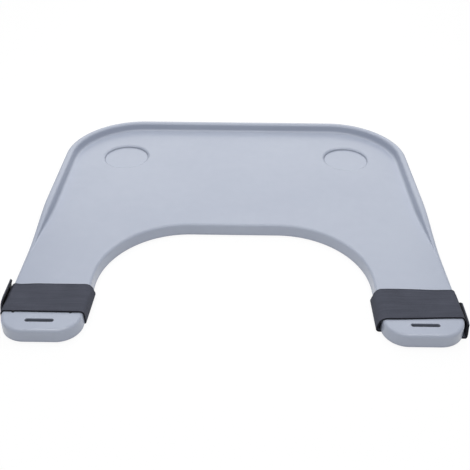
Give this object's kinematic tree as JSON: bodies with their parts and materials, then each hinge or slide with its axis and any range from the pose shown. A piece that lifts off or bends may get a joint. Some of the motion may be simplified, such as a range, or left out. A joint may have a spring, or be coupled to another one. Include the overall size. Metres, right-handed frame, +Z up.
{
  "type": "wheelchair tray",
  "caption": "Moulded wheelchair lap tray with a raised rim, cup recesses, a body cut-out and hook-and-loop straps round its arms.",
  "frame": {"origin": "middle of the object's footprint, at the underside of the straps it stands on", "axes": "+X to the right arm as the user sees it, +Y from the arm tips to the back edge, +Z up out of the deck"},
  "size_m": [0.6334, 0.58, 0.0356],
  "materials": {
    "moulded_plastic": "fine satin grain",
    "panel_plastic": "matt",
    "screw_steel": "zinc plated",
    "strap_webbing": "woven ribs",
    "loop_tape": "looped pile",
    "hook_tape": "moulded hooks"
  },
  "bodies": {
    "tray": {"tray_top_shell": "moulded_plastic", "underside_panel": "panel_plastic", "screw_front_middle": "screw_steel", "screw_back_middle": "screw_steel", "screw_left_front": "screw_steel", "screw_left_back": "screw_steel", "screw_left_arm_root": "screw_steel", "screw_left_arm": "screw_steel", "screw_right_front": "screw_steel", "screw_right_back": "screw_steel", "screw_right_arm_root": "screw_steel", "screw_right_arm": "screw_steel"},
    "left_strap": {"left_strap_band": "strap_webbing", "left_loop_patch": "loop_tape"},
    "left_underarm": {"left_strap_underarm": "strap_webbing"},
    "left_end": {"left_strap_end": "strap_webbing", "left_hook_patch": "hook_tape"},
    "right_strap": {"right_strap_band": "strap_webbing", "right_loop_patch": "loop_tape"},
    "right_underarm": {"right_strap_underarm": "strap_webbing"},
    "right_end": {"right_strap_end": "strap_webbing", "right_hook_patch": "hook_tape"}
  },
  "joints": [
    {"name": "left_strap_slide", "type": "slide", "parent": "tray", "child": "left_strap", "axis": [0, 1, 0], "range_m": [-0.036, 0.018]},
    {"name": "left_strap_drop", "type": "hinge", "parent": "left_strap", "child": "left_underarm", "pos_m": [-0.1988, -0.225, 0.0009], "axis": [0, -1, 0], "range_deg": [0, 95]},
    {"name": "left_end_peel", "type": "hinge", "parent": "left_underarm", "child": "left_end", "pos_m": [-0.3158, -0.225, 0.0009], "axis": [0, -1, 0], "range_deg": [0, 85]},
    {"name": "right_strap_slide", "type": "slide", "parent": "tray", "child": "right_strap", "axis": [0, 1, 0], "range_m": [-0.023, 0.02]},
    {"name": "right_strap_drop", "type": "hinge", "parent": "right_strap", "child": "right_underarm", "pos_m": [0.1988, -0.229, 0.0009], "axis": [0, 1, 0], "range_deg": [0, 95]},
    {"name": "right_end_peel", "type": "hinge", "parent": "right_underarm", "child": "right_end", "pos_m": [0.3158, -0.229, 0.0009], "axis": [0, 1, 0], "range_deg": [0, 85]}
  ]
}
